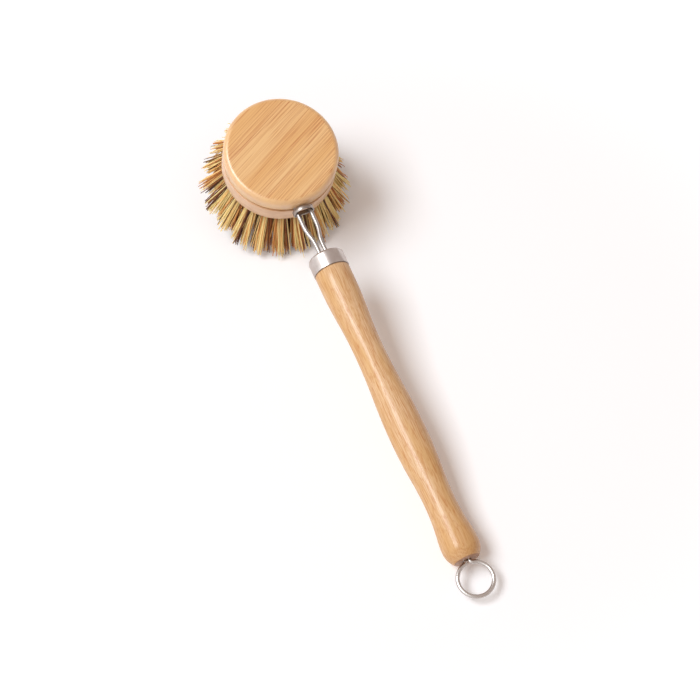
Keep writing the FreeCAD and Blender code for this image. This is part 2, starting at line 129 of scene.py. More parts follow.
def length(description, millimetres):
    kind = {"unit": "LENGTH", "subtype": "DISTANCE", "precision": 5}
    return amount(description, millimetres * MM, **kind)


def share(description, default):
    return amount(description, default, min=0, max=1, subtype="FACTOR")


def angle(description, degrees):
    return amount(description, radians(degrees), subtype="ANGLE")


def whole(description, default):
    return IntProperty(description=description, default=default, min=1)


def vector(description, *default, **kind):
    return FloatVectorProperty(description=description, default=default, **kind)


def direction(description, *towards):
    return vector(description, *towards, subtype="DIRECTION")


def colour(description, *channels):
    """A colour whose channels are written from 0 to 255."""
    tone = Color([channel / 255 for channel in channels]).from_srgb_to_scene_linear()
    return vector(description, *tone, 1, size=4, min=0, max=1, subtype="COLOR")


@named
class HandleSettings(bpy.types.PropertyGroup):
    neck_length: length("Straight stretch behind the ferrule", 6.5)
    front_taper_length: length("From the neck to the front waist", 33)
    swell_rise_length: length("From the front waist to the swell", 41)
    rear_taper_length: length("From the swell to the rear waist", 31)
    bulb_rise_length: length("From the rear waist to the bulb", 20.5)
    bulb_end_length: length("From the bulb to the butt", 6.5)
    neck_diameter: length("Across the neck", 15.5)
    front_waist_diameter: length("Across the front waist", 12.7)
    swell_diameter: length("Across the swell", 15.7)
    rear_waist_diameter: length("Across the rear waist", 12.8)
    bulb_diameter: length("Across the bulb", 15.9)
    butt_face_diameter: length("Across the flat of the butt", 10.6)
    butt_chamfer: length("Chamfer round the butt", 0.4)
    front_taper_joint: share("Where the two arcs of the front taper meet", 0.5)
    swell_rise_joint: share("Where the two arcs of the swell's rise meet", 0.5)
    rear_taper_joint: share("Where the two arcs of the rear taper meet", 0.62)
    bulb_rise_joint: share("Where the two arcs of the bulb's rise meet", 0.72)
    ferrule_diameter: length("Across the ferrule", 15.9)
    ferrule_length: length("Along the ferrule", 7.5)
    ferrule_wall: length("Thickness of the ferrule's steel", 0.5)
    ferrule_edge_radius: length("Round of the ferrule's front edge", 1.2)
    clearance: length("Room between pieces that sit in each other", 0.05)


@named
class WireSettings(bpy.types.PropertyGroup):
    diameter: length("Across the spring wire", 1.9)
    tail_spacing: length("Between the middles of the two tails", 2.9)
    tail_depth: length("How deep the tails sit in the handle", 24)
    leg_lead: length("Straight stretch in front of the ferrule", 6)
    spread_length: length("Where the legs draw apart", 11)
    leg_spacing: length("Between the middles of the legs", 5.8)
    leg_run: length("Straight stretch that the lock slides on", 8.7)
    kink_angle: angle("Turn from the legs to the head's groove", 7)
    kink_radius: length("Round of the kink", 8)
    bend_radius: length("Round of the bend from a leg into the ring", 1.5)
    clip_length: length("Along the lock", 2)
    clip_sheet: length("Thickness of the lock's steel", 0.6)
    clip_clearance: length("Room round the legs", 0.25)
    clip_arch_drop: length("How far the arch springs below the legs' middle", 0.7)
    clip_setback: length("From the head's side to the lock", 0.25)


@named
class HeadSettings(bpy.types.PropertyGroup):
    diameter: length("Across the head", 50)
    rise: length("From the groove's middle to the top", 7.9)
    flange_drop: length("From the groove's middle to the underside", 10)
    top_edge_radius: length("Round of the top edge", 2.5)
    flange_edge_radius: length("Round of the lower edge", 0.8)
    groove_depth: length("How deep the groove is", 3.2)
    ring_clearance: length("Room round the ring of wire in its groove", 0.1)
    groove_lip: length("Round of the groove's edges", 0.2)
    hole_diameter: length("Across a tuft's hole", 4.8)
    hole_depth: length("Depth of a tuft's hole", 5.5)
    hole_rim: length("Wood between the outer holes and the flange's side", 3)
    grain_turn: angle("Turn of the grain from the handle's direction", 118.5)


@named
class TuftSettings(bpy.types.PropertyGroup):
    bristle_length: length("From the underside to the trimmed tips", 22.7)
    tip_flare: length("How far the tips reach past the head's side", 9.8)
    gap: length("Between the tips of neighbouring tufts", 0.3)
    root_radius: length("Radius of the bundle in its hole", 2.1)
    root_depth: length("How deep the fibres are followed into the hole", 2.4)
    fibres: whole("Fibres in each tuft", 120)
    strands: whole("Strands that a tuft's fibres gather into", 54)
    gather: share("How far the fibres of a strand draw together", 0.6)
    spread: share("How much of its room a tuft's tips fill", 1)
    fibre_diameter: length("Across a middling fibre", 0.46)
    ragged: length("How much shorter than the trim a fibre may be", 1.1)
    stray: length("How far a tip strays from its place", 0.7)
    narrowing: share("How much less the tips reach to the sides", 0.04)


@named
class LoopSettings(bpy.types.PropertyGroup):
    wire_diameter: length("Across the loop's wire", 1.8)
    diameter: length("Across the loop outside", 16.4)
    neck_radius: length("Round of the bend into the loop", 1.2)
    stand_off: length("From the butt to the bend", 0.2)
    tail_depth: length("How deep the tails sit in the butt", 18)
    tail_gap: length("Between the two tails", 0.1)


@named
class ColourSettings(bpy.types.PropertyGroup):
    board_pale: colour("Palest cane of the head", 248, 202, 140)
    board_mid: colour("Middling cane of the head", 240, 186, 118)
    board_deep: colour("Darker cane of the head", 216, 146, 74)
    board_streak: colour("Dark fibre streaks in the head", 194, 108, 42)
    crown_deep: colour("Darker tone of the head's side above the groove", 234, 186, 136)
    side_pale: colour("Palest tone of the head's side under the groove", 235, 194, 155)
    side_deep: colour("Darker tone of the head's side under the groove", 214, 165, 120)
    stick_pale: colour("Palest cane of the handle", 235, 196, 152)
    stick_mid: colour("Middling cane of the handle", 226, 180, 123)
    stick_deep: colour("Darker cane of the handle", 204, 148, 88)
    stick_streak: colour("Dark fibre streaks in the handle", 196, 122, 58)
    end_grain: colour("Cut end of the handle", 172, 126, 98)
    # The seam's dark colour is painted shade in the gap at the ferrule, with some dirt
    seam: colour("Dark seam between the handle and the ferrule", 92, 56, 32)
    steel: colour("Bright drawn steel", 180, 173, 168)
    loop_steel: colour("Bright steel of the hanging loop", 204, 198, 194)
    dull_steel: colour("Drawn steel clouded by handling", 160, 151, 146)
    lock_steel: colour("Dull steel of the lock", 120, 110, 103)
    lock_bright: colour("Brighter steel of the lock", 168, 158, 151)
    ferrule_steel: colour("Satin steel of the ferrule", 192, 182, 177)
    ferrule_bright: colour("Brighter steel of the ferrule", 212, 205, 201)
    fibre_dark: colour("Darkest fibres", 76, 38, 14)
    fibre_brown: colour("Brown fibres", 142, 84, 40)
    fibre_red: colour("Reddish fibres", 210, 134, 74)
    fibre_tan: colour("Golden fibres", 254, 202, 124)
    fibre_straw: colour("Palest fibres", 255, 234, 164)
    floor: colour("Plain pale floor", 250, 248, 248)
    ambient: colour("Light from all round", 255, 230, 214)
    key: colour("Tint of the key light", 240, 248, 255)
    far_side: colour("What metal shows away from the key light", 216, 203, 196)
    horizon: colour("What metal shows where the floor ends", 104, 88, 80)


@named
class StageSettings(bpy.types.PropertyGroup):
    azimuth: angle("Turn of the camera round the brush", 66.9)
    elevation: angle("Height of the camera above the floor", 57.02)
    distance: length("From the camera to the point that it looks at", 836.6)
    field: angle("Across the picture", 20)
    roll: angle("Turn of the camera about its line of sight", -0.35)
    target: vector(
        "Point that the camera looks at",
        4.5 * MM,
        -5.3 * MM,
        15.45 * MM,
        unit="LENGTH",
        subtype="TRANSLATION",
    )
    key_power: amount("Power of the key light", 172, unit="POWER")
    key_width: length("Width of the key light along the brush", 3300)
    key_height: length("Height of the key light", 1800)
    key_distance: length("From the brush to the key light", 4500)
    key_direction: direction("Where the key light stands, from the brush", -0.1, -0.62, 1)
    bright_direction: direction("Middle of the bright side of the room", 0, -0.88, 0.47)
    ambient_level: amount("Level of the light from all round", 0.37)
    floor_lift: amount("Glow that lifts the floor to white", 0.145)
    bright_level: amount("Level of the bright side of the room", 1.4)
    floor_size: length("Width of the floor", 8000)
    floor_near: length("Where the floor starts to fade to white", 120)
    floor_far: length("Where the floor is white", 650)


@named
class BrushSettings(bpy.types.PropertyGroup):
    handle: PointerProperty(type=HandleSettings)
    wire: PointerProperty(type=WireSettings)
    head: PointerProperty(type=HeadSettings)
    tuft: PointerProperty(type=TuftSettings)
    loop: PointerProperty(type=LoopSettings)
    colours: PointerProperty(type=ColourSettings)
    stage: PointerProperty(type=StageSettings)


# Places of the handle and the head, as turns and shifts from the floor's frame
def place_of(along, upright, origin):
    axes = Matrix((along, ACROSS, upright)).transposed()
    return Matrix.Translation(origin) @ axes.to_4x4()


def butt_station(handle):
    """From the ferrule's front face to the butt."""
    stretches = sum(getattr(handle, f"{stretch}_length") for _, stretch in KNOTS)
    return handle.ferrule_length + stretches + handle.bulb_end_length


def handle_place(handle):
    """The handle's frame: its origin is on the ferrule's front face, +X runs to the butt."""
    origin = BUTT_CENTRE - HANDLE_AXIS * butt_station(handle)
    return place_of(HANDLE_AXIS, HANDLE_AXIS.cross(ACROSS), origin)


def head_place():
    """The head's frame: its origin is in the middle of the groove, +Z leaves the top."""
    return place_of(ACROSS.cross(HEAD_AXIS), HEAD_AXIS, HEAD_CENTRE)


# Materials
class Value:
    """A socket of a node; sums on it add Math nodes."""

    def __init__(self, finish, socket):
        self.finish = finish
        self.socket = socket

    def part(self, output):
        """Another output of the same node."""
        return Value(self.finish, self.socket.node.outputs[output])

    def math(self, operation, first, second=0):
        return self.finish.node("Math", {0: first, 1: second}, operation=operation)

    def __add__(self, other):
        return self.math("ADD", self, other)

    def __sub__(self, other):
        return self.math("SUBTRACT", self, other)

    def __rsub__(self, other):
        return self.math("SUBTRACT", other, self)

    def __mul__(self, other):
        return self.math("MULTIPLY", self, other)

    def __abs__(self):
        return self.math("ABSOLUTE", self)

    __radd__ = __add__


class Finish:
    """A node tree in the making, for a material or the world."""

    def __init__(self, tree):
        self.tree = tree
        tree.nodes.clear()

    def node(self, kind, sockets=None, output=0, **settings):
        """Add a node: its settings first, then the values or links of its sockets."""
        made = self.tree.nodes.new(f"ShaderNode{kind}")
        for key, setting in settings.items():
            setattr(made, key, setting)
        for key, given in (sockets or {}).items():
            if isinstance(given, Value):
                self.tree.links.new(given.socket, made.inputs[key])
            else:
                made.inputs[key].default_value = given
        return Value(self, made.outputs[output]) if made.outputs else None

    def position(self, place):
        """Place on the surface, in metres, in the frame of one piece."""
        objects = self.node("TexCoord", output="Object")
        shift, turn = place.to_translation(), place.to_euler()
        sockets = {"Vector": objects, "Location": shift, "Rotation": turn}
        return self.node("Mapping", sockets, vector_type="TEXTURE")

    def noise(self, position, scales, detail=2, roughness=0.5, shift=(0, 0, 0)):
        """Noise with its own number of turns to the metre along each axis."""
        stretched = self.node("Mapping", {"Vector": position, "Scale": scales, "Location": shift})
        sockets = {"Vector": stretched, "Scale": 1, "Detail": detail, "Roughness": roughness}
        return self.node("TexNoise", sockets)

    def ramped(self, value, low, high):
        """0 below low, 1 above high, and a smooth step between."""
        sockets = {"Value": value, "From Min": low, "From Max": high}
        return self.node("MapRange", sockets, interpolation_type="SMOOTHSTEP")

    def mixed(self, factor, first, second, strength=1):
        """A colour between two colours; strength is the most that the second one shows."""
        sockets = {0: factor * strength, 6: first, 7: second}
        return self.node("Mix", sockets, output=2, data_type="RGBA")

    def toned(self, value, stops):
        """A colour from a row of colours, each with the value that it belongs to."""
        made = self.node("ValToRGB", {0: value})
        elements = made.socket.node.color_ramp.elements
        while len(elements) < len(stops):
            elements.new(1)
        for element, (position, tone) in zip(elements, stops):
            element.position = position
            element.color = tone
        return made

    def varied(self, factor, least, more):
        """The least value, and up to so much more with the factor."""
        return factor * more + least

    def bump(self, height, strength, distance):
        return self.node("Bump", {"Strength": strength, "Distance": distance, "Height": height})

    def shade(self, **sockets):
        """Principled surface; socket names are written with underscores."""
        spelled = {}
        for key, given in sockets.items():
            spelled[key.replace("_", " ").title().replace("Ior", "IOR")] = given
        surface = self.node("BsdfPrincipled", spelled)
        self.node("OutputMaterial", {"Surface": surface})


def new_finish(name):
    material = bpy.data.materials.new(name)
    material.use_nodes = True
    return material, Finish(material.node_tree)


def cane_tone(
    finish, local, tones, along, across, streaky, lined, shade_leans=(0, 0), shift=(0, 0, 0)
):
    """Colour of cane whose fibres run along local X, and its grain; the leans paint shade on one
    side and sheen on the other.
    """

    def layer(lengthwise, crosswise, detail=1, roughness=0.5):
        scales = (lengthwise * along, crosswise * across, crosswise * across)
        return finish.noise(local, scales, detail, roughness, shift)

    def line(noise, width):
        """1 where the noise passes its middle, 0 at the line's edges."""
        return 1 - finish.ramped(abs(noise - NOISE_MIDDLE), low=0, high=width)

    pale, mid, deep, streak = tones
    # The leans shift the strips and streaks: painted shade on one side, painted sheen on the other
    strips = layer(lengthwise=0.3, crosswise=0.1, detail=2) + shade_leans[0]
    streaks = layer(lengthwise=1, crosswise=1, detail=3, roughness=0.6) + shade_leans[1]
    veins = layer(lengthwise=0.6, crosswise=0.3)
    hairs = layer(lengthwise=0.9, crosswise=0.6)
    lines = line(veins, width=0.045) + line(hairs, width=0.06)
    lines = lines * finish.ramped(streaks, low=0.34, high=0.54)
    body = finish.mixed(finish.ramped(strips, low=0.3, high=0.7), pale, mid)
    body = finish.mixed(finish.ramped(streaks, low=0.42, high=0.62), body, deep, streaky)
    body = finish.mixed(lines, body, streak, lined)
    return body, hairs + streaks


def lacquer(finish, body, grain, **coat):
    """Satin lacquer over cane."""
    finish.shade(
        base_color=body,
        roughness=finish.varied(finish.ramped(grain, low=0.7, high=1.3), least=0.42, more=0.1),
        normal=finish.bump(grain, strength=0.03, distance=0.2 * MM),
        specular_ior_level=0.2,
        **coat,
    )


def handle_finish(name, place, colours, front, butt):
    """Cane stick: fine streaks, painted shade and dirt in the seam at the ferrule, painted shade
    near the butt, end grain on the butt.
    """
    material, finish = new_finish(name)
    local = finish.position(place)
    tones = (colours.stick_pale, colours.stick_mid, colours.stick_deep, colours.stick_streak)
    body, grain = cane_tone(finish, local, tones, along=110, across=2100, streaky=0.45, lined=0.39)
    station = finish.node("SeparateXYZ", {0: local})
    # Painted shade, with some dirt, in the gap where the handle meets the ferrule
    seam = 1 - finish.ramped(station, front, front + SEAM_SHADE_WIDTH)
    body = finish.mixed(seam, body, colours.seam, strength=0.8)
    # Painted shade: the handle darkens towards the butt, where the bulb curves away from the light
    rear = finish.ramped(station, butt - BUTT_SHADE_LENGTH, butt)
    body = finish.mixed(rear, body, colours.stick_deep, strength=0.25)
    end = finish.ramped(station, butt - END_GRAIN_START, butt - END_GRAIN_FULL)
    body = finish.mixed(end, body, colours.end_grain, strength=0.85)
    lacquer(finish, body, grain, coat_weight=0.45, coat_roughness=0.18, coat_ior=1.5)
    return material


def head_finish(name, place, colours, top, edge):
    """Cane board: streaked on its top face, paler and plainer on the turned side."""
    material, finish = new_finish(name)
    local = finish.position(place)
    point = finish.node("SeparateXYZ", {0: local})
    aside, height = point.part(1), point.part(2)
    # The board leans darker to one side and paler to the other: painted shade and sheen across the
    # top
    board, grain = cane_tone(
        finish,
        local,
        (colours.board_pale, colours.board_mid, colours.board_deep, colours.board_streak),
        along=20,
        across=1900,
        streaky=0.3,
        lined=0.54,
        shade_leans=(aside * STRIP_SHADE_LEAN, aside * STREAK_SHADE_LEAN),
        shift=(1.7, 8.2, 3.1),
    )
    clouds = finish.noise(local, scales=(130, 130, 420), detail=3, roughness=0.6)
    cloud = finish.ramped(clouds, low=0.3, high=0.7)
    flange = finish.mixed(cloud, colours.side_pale, colours.side_deep)
    crown = finish.mixed(cloud, colours.board_pale, colours.crown_deep)
    side = finish.mixed(finish.ramped(height, -MM, MM), flange, crown)
    side = finish.mixed(1, side, board, strength=0.15)
    on_top = finish.ramped(height, top - edge * SIDE_END, top - edge * TOP_START)
    body = finish.mixed(on_top, side, board)
    lacquer(finish, body, grain, coat_weight=1, coat_roughness=0.33, coat_ior=1.75)
    return material


def worn(finish, local, turns):
    """Clouds from 0 to 1 that handling leaves on steel, with their turns to the metre."""
    clouds = finish.noise(local, (turns, turns, turns), detail=3, roughness=0.6)
    return finish.ramped(clouds, low=0.35, high=0.75)


def wire_finish(name, place, bright, clouded, roughness):
    """Bright drawn steel, clouded a little by handling."""
    material, finish = new_finish(name)
    clouds = worn(finish, finish.position(place), turns=240)
    finish.shade(
        base_color=finish.mixed(clouds, bright, clouded, strength=0.4),
        metallic=1,
        roughness=finish.varied(clouds, least=roughness, more=0.07),
    )
    return material


def ferrule_finish(name, place, colours):
    """Satin steel with fine turning marks round the ferrule."""
    material, finish = new_finish(name)
    local = finish.position(place)
    clouds = worn(finish, local, turns=260)
    tones = colours.ferrule_steel, colours.ferrule_bright
    marks = finish.noise(local, scales=(5200, 120, 120))
    rings = finish.ramped(marks, low=0.35, high=0.75)
    finish.shade(
        base_color=finish.mixed(clouds, *tones, strength=0.5),
        metallic=1,
        roughness=finish.varied(rings, least=0.29, more=0.08),
        normal=finish.bump(marks, strength=0.015, distance=0.1 * MM),
    )
    return material


def fibre_finish(name, colours):
    """Dry plant fibre, with painted shade at the roots; the fibre map holds the way along a fibre
    and the fibre's own tone.
    """
    material, finish = new_finish(name)
    mapped = finish.node("UVMap", uv_map="fibre")
    along = finish.node("SeparateXYZ", {0: mapped})
    objects = finish.node("TexCoord", output="Object")
    mottle = finish.noise(objects, scales=(700, 700, 300), roughness=0.6)
    tone = along.part(1) + finish.varied(mottle - NOISE_MIDDLE, least=0, more=0.22)
    stops = (
        (0, colours.fibre_dark),
        (0.16, colours.fibre_brown),
        (0.36, colours.fibre_red),
        (0.58, colours.fibre_tan),
        (1, colours.fibre_straw),
    )
    # Painted shade: the fibres darken towards their roots, among the other fibres under the head
    root = 1 - finish.ramped(along, low=0.05, high=0.5)
    body = finish.mixed(root, finish.toned(tone, stops), colours.fibre_dark, strength=0.5)
    finish.shade(
        base_color=body,
        roughness=finish.varied(mottle, least=0.55, more=0.15),
        normal=finish.bump(mottle, strength=0.15, distance=0.1 * MM),
        specular_ior_level=0.35,
    )
    return material


# Modelling steps
def deselect_all():
    if bpy.context.mode != "OBJECT":
        bpy.ops.object.mode_set(mode="OBJECT")
    bpy.ops.object.select_all(action="DESELECT")


def select_only(piece):
    deselect_all()
    piece.select_set(True)
    bpy.context.view_layer.objects.active = piece


def added(add, **settings):
    """What an operator adds, with nothing else selected."""
    deselect_all()
    add(**settings)
    return bpy.context.object


def select_mesh():
    """Enter edit mode, with all of the mesh selected."""
    bpy.ops.object.mode_set(mode="EDIT")
    bpy.ops.mesh.select_all(action="SELECT")


def draw_line(name, points):
    """A new piece that is one line of edges through the points, left in edit mode."""
    piece = added(bpy.ops.mesh.primitive_plane_add, size=MM)
    piece.name = name
    select_mesh()
    bpy.ops.mesh.merge(type="CENTER")
    bpy.ops.transform.translate(value=points[0])
    for start, end in zip(points, points[1:]):
        bpy.ops.mesh.extrude_vertices_move(TRANSFORM_OT_translate={"value": end - start})
    return piece


def close_skin():
    """Merge what meets, turn all faces outwards and leave edit mode."""
    select_mesh()
    bpy.ops.mesh.remove_doubles(threshold=MERGE_DISTANCE)
    bpy.ops.mesh.normals_make_consistent(inside=False)
    bpy.ops.object.mode_set(mode="OBJECT")


def modify(piece, kind, **settings):
    """Add a modifier and apply it."""
    select_only(piece)
    bpy.ops.object.modifier_add(type=kind)
    modifier = piece.modifiers[-1]
    for key, setting in settings.items():
        setattr(modifier, key, setting)
    bpy.ops.object.modifier_apply(modifier=modifier.name)


def soften_edges(piece, width, segments=2):
    limit = {"limit_method": "ANGLE", "angle_limit": SHARP_ANGLE}
    modify(piece, "BEVEL", width=width, segments=segments, **limit)


def turned(name, outline, axis, sides, edge, segments=2):
    """A piece turned from its outline about an axis through the origin, with soft edges."""
    piece = draw_line(name, outline)
    select_mesh()
    bpy.ops.mesh.spin(steps=sides, angle=2 * pi, center=(0, 0, 0), axis=axis)
    close_skin()
    soften_edges(piece, edge, segments)
    return piece


def put_in_place(piece, place):
    select_only(piece)
    piece.matrix_world = place
    bpy.ops.object.transform_apply(location=True, rotation=True, scale=True)
    bpy.ops.object.shade_smooth_by_angle(angle=CREASE_ANGLE)


def dress(piece, place, material, slot, body, *nodes):
    """Put a piece in its place, with its material, its body and the CAD nodes it stands for."""
    put_in_place(piece, place)
    piece.data.materials.clear()
    piece.data.materials.append(material)
    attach(piece, body)
    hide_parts(*nodes)


def arc_points(start, end, upright, count):
    """Points after start on an arc whose centre lies straight above or below one of its ends."""
    held, free = (start, end) if upright == "start" else (end, start)
    rise = held.y - free.y
    centre = Vector((held.x, (held.y**2 - free.y**2 - (free.x - held.x) ** 2) / (2 * rise)))
    first = atan2(start.y - centre.y, start.x - centre.x)
    turn = atan2(end.y - centre.y, end.x - centre.x) - first
    turn = (turn + pi) % (2 * pi) - pi
    radius = (start - centre).length
    turns = [first + turn * step / count for step in range(1, count + 1)]
    return [centre + radius * Vector((cos(at), sin(at))) for at in turns]


def outline_points(corners, arcs):
    """An open outline through corners; arcs gives a stretch's upright end and its steps."""
    corners = [Vector(corner) for corner in corners]
    points = corners[:1]
    for number, (start, end) in enumerate(zip(corners, corners[1:])):
        points += arc_points(start, end, *arcs[number]) if number in arcs else [end]
    return points


def bend_points(start, along, side, radius, turn, count):
    """Points after start on a bend that leaves along a direction and turns towards side."""
    centre = start + side * radius
    points = []
    for step in range(1, count + 1):
        at = turn * step / count
        points.append(centre - side * (radius * cos(at)) + along * (radius * sin(at)))
    return points


def ring_points(radius, first, last, steps):
    """Points on a ring about the origin, between two turns and without the ends."""
    turns = [first + (last - first) * step / steps for step in range(1, steps)]
    return [Vector((radius * cos(at), radius * sin(at), 0)) for at in turns]


def bent_wire(name, half, ring, diameter):
    """A round wire with closed ends: one half, a ring and the half's mirror image."""
    mirror = Matrix.Scale(-1, 4, ACROSS)
    piece = draw_line(name, [*half, *ring, *[mirror @ point for point in half[::-1]]])
    select_only(piece)
    bpy.ops.object.convert(target="CURVE")
    piece.data.bevel_depth = diameter / 2
    piece.data.bevel_resolution = WIRE_ROUNDNESS
    piece.data.use_fill_caps = True
    bpy.ops.object.convert(target="MESH")
    close_skin()
    return piece


def wire_bore_radius(brush):
    wire = brush.wire
    return (wire.tail_spacing + wire.diameter) / 2 + brush.handle.clearance


class BrushOperator:
    """What the brush's operators share."""

    bl_options = {"REGISTER", "UNDO"}

    def execute(self, context):
        self.make(context.scene.dish_brush)
        return {"FINISHED"}


class DISHBRUSH_OT_handle(BrushOperator, bpy.types.Operator):
    """Turn the bamboo handle, with its two waists, swell and bulb"""

    bl_idname = "dish_brush.handle"
    bl_label = "Handle"

    def swelling(self, handle):
        """Corners from the neck to the bulb; two arcs meet between one knot and the next."""
        station, corners = handle.ferrule_length, []
        for knot, stretch in KNOTS:
            station += getattr(handle, f"{stretch}_length")
            corner = Vector((station, getattr(handle, f"{knot}_diameter") / 2))
            if corners:
                joint = getattr(handle, f"{stretch}_joint")
                corners.append(corners[-1].lerp(corner, joint))
            corners.append(corner)
        return corners

    def make(self, brush):
        handle, loop = brush.handle, brush.loop
        front = handle.ferrule_wall + handle.clearance
        spigot = handle.ferrule_diameter / 2 - handle.ferrule_wall - handle.clearance
        spigot_round = handle.ferrule_edge_radius - handle.ferrule_wall
        rim = (front, spigot - spigot_round)
        bore = wire_bore_radius(brush)
        bore_end = brush.wire.tail_depth + handle.clearance
        butt = butt_station(handle)
        butt_face = handle.butt_face_diameter / 2
        loop_bore = loop.wire_diameter + loop.tail_gap / 2 + handle.clearance
        loop_bore_end = butt - loop.tail_depth - handle.clearance
        swelling = self.swelling(handle)
        corners = [
            (bore_end, 0),
            (bore_end, bore),
            (front, bore),
            rim,
            (front + spigot_round, spigot),
            (handle.ferrule_length, spigot),
            (handle.ferrule_length, handle.neck_diameter / 2),
            *swelling,
            (butt - handle.butt_chamfer, butt_face + handle.butt_chamfer),
            (butt, butt_face),
            (butt, loop_bore),
            (loop_bore_end, loop_bore),
            (loop_bore_end, 0),
        ]
        arcs = {corners.index(rim): ("end", SPIGOT_STEPS)}
        first = corners.index(swelling[0])
        for number in range(len(swelling)):
            arcs[first + number] = (("start", "end")[number % 2], SWELL_STEPS)
        outline = [point.to_3d() for point in outline_points(corners, arcs)]
        piece = turned("bamboo_handle", outline, ALONG, STICK_SIDES, CANE_EDGE)
        place = handle_place(handle)
        ends = handle.ferrule_length, butt
        finish = handle_finish("lacquered_cane_handle", place, brush.colours, *ends)
        dress(piece, place, finish, "bamboo", "handle", "handle")


class DISHBRUSH_OT_ferrule(BrushOperator, bpy.types.Operator):
    """Draw the steel cap over the handle's front"""

    bl_idname = "dish_brush.ferrule"
    bl_label = "Ferrule"

    def make(self, brush):
        handle = brush.handle
        bore = wire_bore_radius(brush)
        outer = handle.ferrule_diameter / 2
        inner = outer - handle.ferrule_wall
        edge = handle.ferrule_edge_radius
        rear = handle.ferrule_length - handle.clearance
        corners = [
            (0, bore),
            (0, outer - edge),
            (edge, outer),
            (rear, outer),
            (rear, inner),
            (edge, inner),
            (handle.ferrule_wall, inner - edge + handle.ferrule_wall),
            (handle.ferrule_wall, bore),
            (0, bore),
        ]
        arcs = {1: ("end", FERRULE_EDGE_STEPS), 5: ("start", FERRULE_INNER_STEPS)}
        outline = [point.to_3d() for point in outline_points(corners, arcs)]
        piece = turned("steel_ferrule", outline, ALONG, STICK_SIDES, STEEL_EDGE)
        place = handle_place(handle)
        finish = ferrule_finish("satin_steel_ferrule", place, brush.colours)
        dress(piece, place, finish, "steel", "handle", "ferrule")


def ring_radius(brush):
    """From the head's centre to the middle of the wire in the groove."""
    head = brush.head
    return head.diameter / 2 - head.groove_depth + head.ring_clearance + brush.wire.diameter / 2


class DISHBRUSH_OT_spring_wire(BrushOperator, bpy.types.Operator):
    """Bend the spring wire: tails, legs that draw apart, a kink and the ring round the head"""

    bl_idname = "dish_brush.spring_wire"
    bl_label = "Spring wire"

    def leg(self, brush, head_in_handle):
        """Points of one leg from its tail to the ring."""
        wire = brush.wire
        tail, spaced = wire.tail_spacing / 2, wire.leg_spacing / 2
        ahead = -ALONG
        tail_end = Vector((wire.tail_depth, tail, 0))
        spread_start = Vector((-wire.leg_lead, tail, 0))
        spread_end = Vector((-wire.leg_lead - wire.spread_length, spaced, 0))
        widening = spaced - tail
        radius = (wire.spread_length**2 + widening**2) / (4 * widening)
        turn = asin(wire.spread_length / (2 * radius))
        out = bend_points(spread_start, ahead, ACROSS, radius, turn, SPREAD_STEPS)
        back = bend_points(spread_end, ALONG, -ACROSS, radius, turn, SPREAD_STEPS)
        spread = [spread_start, *out, *back[-2::-1], spread_end]
        kink_start = spread_end - Vector((wire.leg_run, 0, 0))
        kink = bend_points(kink_start, ahead, UP, wire.kink_radius, wire.kink_angle, KINK_STEPS)
        reach, offset = ring_radius(brush) + wire.bend_radius, spaced + wire.bend_radius
        bend_start = head_in_handle @ Vector((sqrt(reach**2 - offset**2), spaced, 0))
        into = (head_in_handle.to_3x3() @ ahead).normalized()
        bend_turn = acos(offset / reach)
        bend = bend_points(bend_start, into, ACROSS, wire.bend_radius, bend_turn, BEND_STEPS)
        return [tail_end, *spread, kink_start, *kink, bend_start, *bend]

    def make(self, brush):
        wire, colours = brush.wire, brush.colours
        place = handle_place(brush.handle)
        head_in_handle = place.inverted() @ head_place()
        radius = ring_radius(brush)
        reach, offset = radius + wire.bend_radius, wire.leg_spacing / 2 + wire.bend_radius
        first = asin(offset / reach)
        ring = ring_points(radius, first, 2 * pi - first, RING_STEPS)
        ring = [head_in_handle @ point for point in ring]
        leg = self.leg(brush, head_in_handle)
        piece = bent_wire("bent_spring_wire", leg, ring, wire.diameter)
        tones = colours.steel, colours.dull_steel
        finish = wire_finish("bright_spring_steel", place, *tones, roughness=0.3)
        dress(piece, place, finish, "steel", "handle", "spring_wire")


class DISHBRUSH_OT_lock_clip(BrushOperator, bpy.types.Operator):
    """Fold the steel lock round both legs"""

    bl_idname = "dish_brush.lock_clip"
    bl_label = "Lock"

    def front(self, brush, head_in_handle, arch_top):
        """Where the lock starts: its arch stands clear of the head's leaning side."""
        side_foot = head_in_handle @ Vector((brush.head.diameter / 2, 0, 0))
        lean = brush.wire.kink_angle
        return side_foot.x + (arch_top - side_foot.z) * tan(lean) + brush.wire.clip_setback

    def make(self, brush):
        wire, colours = brush.wire, brush.colours
        springing = -wire.clip_arch_drop
        leg_room = wire.diameter / 2 + wire.clip_clearance
        arch = hypot(wire.leg_spacing / 2, wire.clip_arch_drop) + leg_room
        middle = arch + wire.clip_sheet / 2
        corner = leg_room - wire.clip_arch_drop + wire.clip_sheet / 2
        corners = [
            (0, springing + middle),
            (-middle, springing),
            (corner - middle, springing - corner),
            (middle - corner, springing - corner),
            (middle, springing),
            (0, springing + middle),
        ]
        arcs = {
            0: ("start", LOCK_ARCH_STEPS),
            1: ("end", LOCK_CORNER_STEPS),
            3: ("start", LOCK_CORNER_STEPS),
            4: ("end", LOCK_ARCH_STEPS),
        }
        place = handle_place(brush.handle)
        arch_top = springing + arch + wire.clip_sheet
        front = self.front(brush, place.inverted() @ head_place(), arch_top)
        outline = [Vector((front, *point)) for point in outline_points(corners, arcs)]
        piece = draw_line("folded_lock", outline)
        select_mesh()
        along = {"value": (wire.clip_length, 0, 0)}
        bpy.ops.mesh.extrude_region_move(TRANSFORM_OT_translate=along)
        close_skin()
        modify(piece, "SOLIDIFY", thickness=wire.clip_sheet, offset=0, use_even_offset=True)
        soften_edges(piece, STEEL_EDGE)
        tones = colours.lock_bright, colours.lock_steel
        finish = wire_finish("dull_lock_steel", place, *tones, roughness=0.3)
        dress(piece, place, finish, "steel", "lock", "lock_clip")


TuftPlace = namedtuple("TuftPlace", "node turn root tip half_width breadth")


